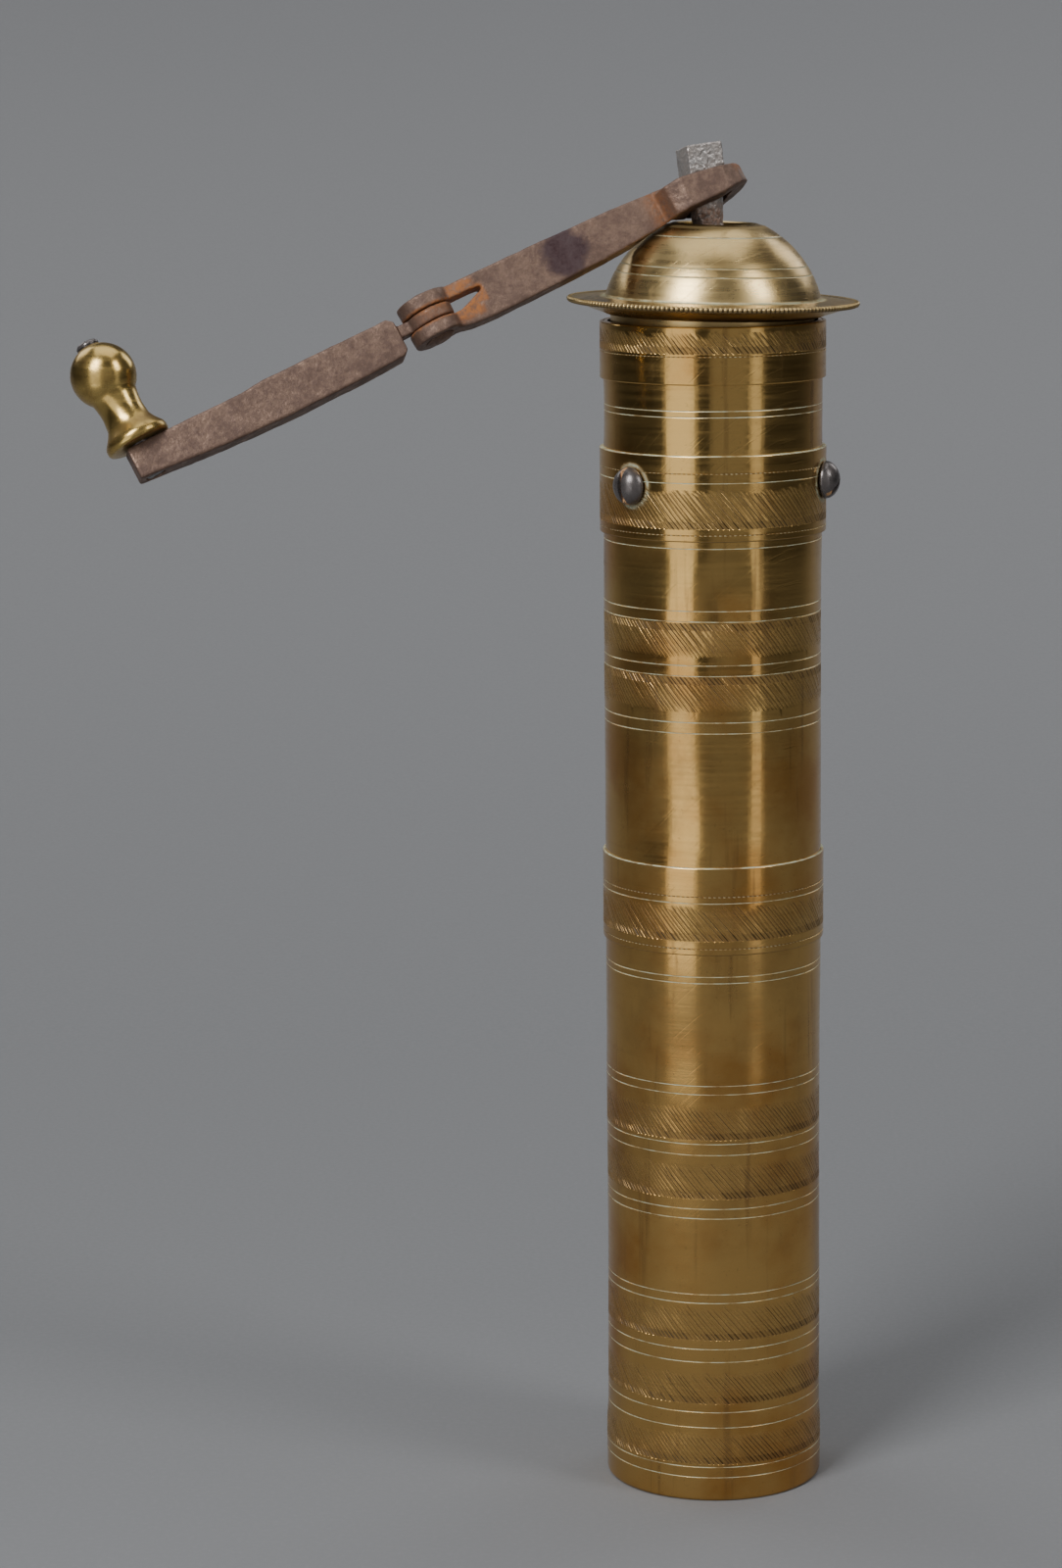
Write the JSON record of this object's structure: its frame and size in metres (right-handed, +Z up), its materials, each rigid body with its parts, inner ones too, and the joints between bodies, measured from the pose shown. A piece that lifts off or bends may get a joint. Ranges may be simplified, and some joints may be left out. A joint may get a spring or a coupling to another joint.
{
  "type": "pepper mill",
  "caption": "Tall cylindrical brass hand mill: receiving cup, plug-in grinder barrel, lift-off domed lid and a folding iron crank with a turned knob.",
  "frame": {"origin": "centre of the base's underside, on the surface that the mill stands on", "axes": "+Z up along the tubes and the spindle; -Y is the front, and the crank points to -X at rest"},
  "size_m": [0.1746, 0.0838, 0.3129],
  "materials": {
    "tube_brass": "worn patinated polish",
    "lid_brass": "satin turned",
    "knob_brass": "hand-polished",
    "forged_iron": "forged, rusted brown",
    "spindle_iron": "pitted bare iron",
    "screw_steel": "darkened steel",
    "burr_iron": "as cast"
  },
  "bodies": {
    "cup": {"cup_tube": "tube_brass", "cup_floor": "tube_brass", "cup_mouth_band": "tube_brass"},
    "barrel": {"barrel_tube": "tube_brass", "barrel_band": "tube_brass", "hopper_tube": "tube_brass", "hopper_mouth_band": "tube_brass", "grinder_screw_left": "screw_steel", "grinder_screw_right": "screw_steel", "grinder_screw_back": "screw_steel", "stator_burr": "burr_iron", "upper_yoke": "forged_iron", "lower_yoke": "forged_iron", "upper_yoke_screw_left": "screw_steel", "upper_yoke_screw_right": "screw_steel", "lower_yoke_screw_left": "screw_steel", "lower_yoke_screw_right": "screw_steel"},
    "spindle": {"spindle": "spindle_iron", "rotor_burr": "burr_iron", "rotor_pin": "screw_steel"},
    "adjuster": {"adjusting_screw": "screw_steel"},
    "lid": {"lid_dome": "lid_brass", "lid_brim": "lid_brass", "lid_skirt": "lid_brass"},
    "crank": {"inner_arm": "forged_iron", "fold_rivet": "forged_iron"},
    "crank_tip": {"outer_arm": "forged_iron", "knob_pin": "forged_iron"},
    "knob": {"knob": "knob_brass"}
  },
  "joints": [
    {"name": "barrel_lift", "type": "slide", "parent": "cup", "child": "barrel", "axis": [0, 0, 1], "range_m": [0, 0.03]},
    {"name": "spindle_turn", "type": "hinge", "parent": "barrel", "child": "spindle", "pos_m": [0, 0, 0.25], "axis": [0, 0, 1], "continuous": true},
    {"name": "adjuster_turn", "type": "hinge", "parent": "barrel", "child": "adjuster", "pos_m": [0, 0, 0.2], "axis": [0, 0, 1], "range_deg": [-180, 180]},
    {"name": "handle_lift", "type": "slide", "parent": "spindle", "child": "crank", "axis": [-0.1253, 0, 0.9921], "range_m": [0, 0.035]},
    {"name": "lid_lift", "type": "slide", "parent": "barrel", "child": "lid", "axis": [-0.0436, 0, 0.999], "range_m": [0, 0.035]},
    {"name": "arm_fold", "type": "hinge", "parent": "crank", "child": "crank_tip", "pos_m": [-0.06297, -0.02208, 0.27453], "axis": [-0.4765, 0.2304, 0.8485], "range_deg": [-140, 140]},
    {"name": "knob_spin", "type": "hinge", "parent": "crank_tip", "child": "knob", "pos_m": [-0.12569, -0.04354, 0.24914], "axis": [-0.4765, 0.2304, 0.8485], "continuous": true}
  ],
  "couplings": [
    {"joint": "lid_lift", "follows": "handle_lift", "ratio": 1}
  ]
}
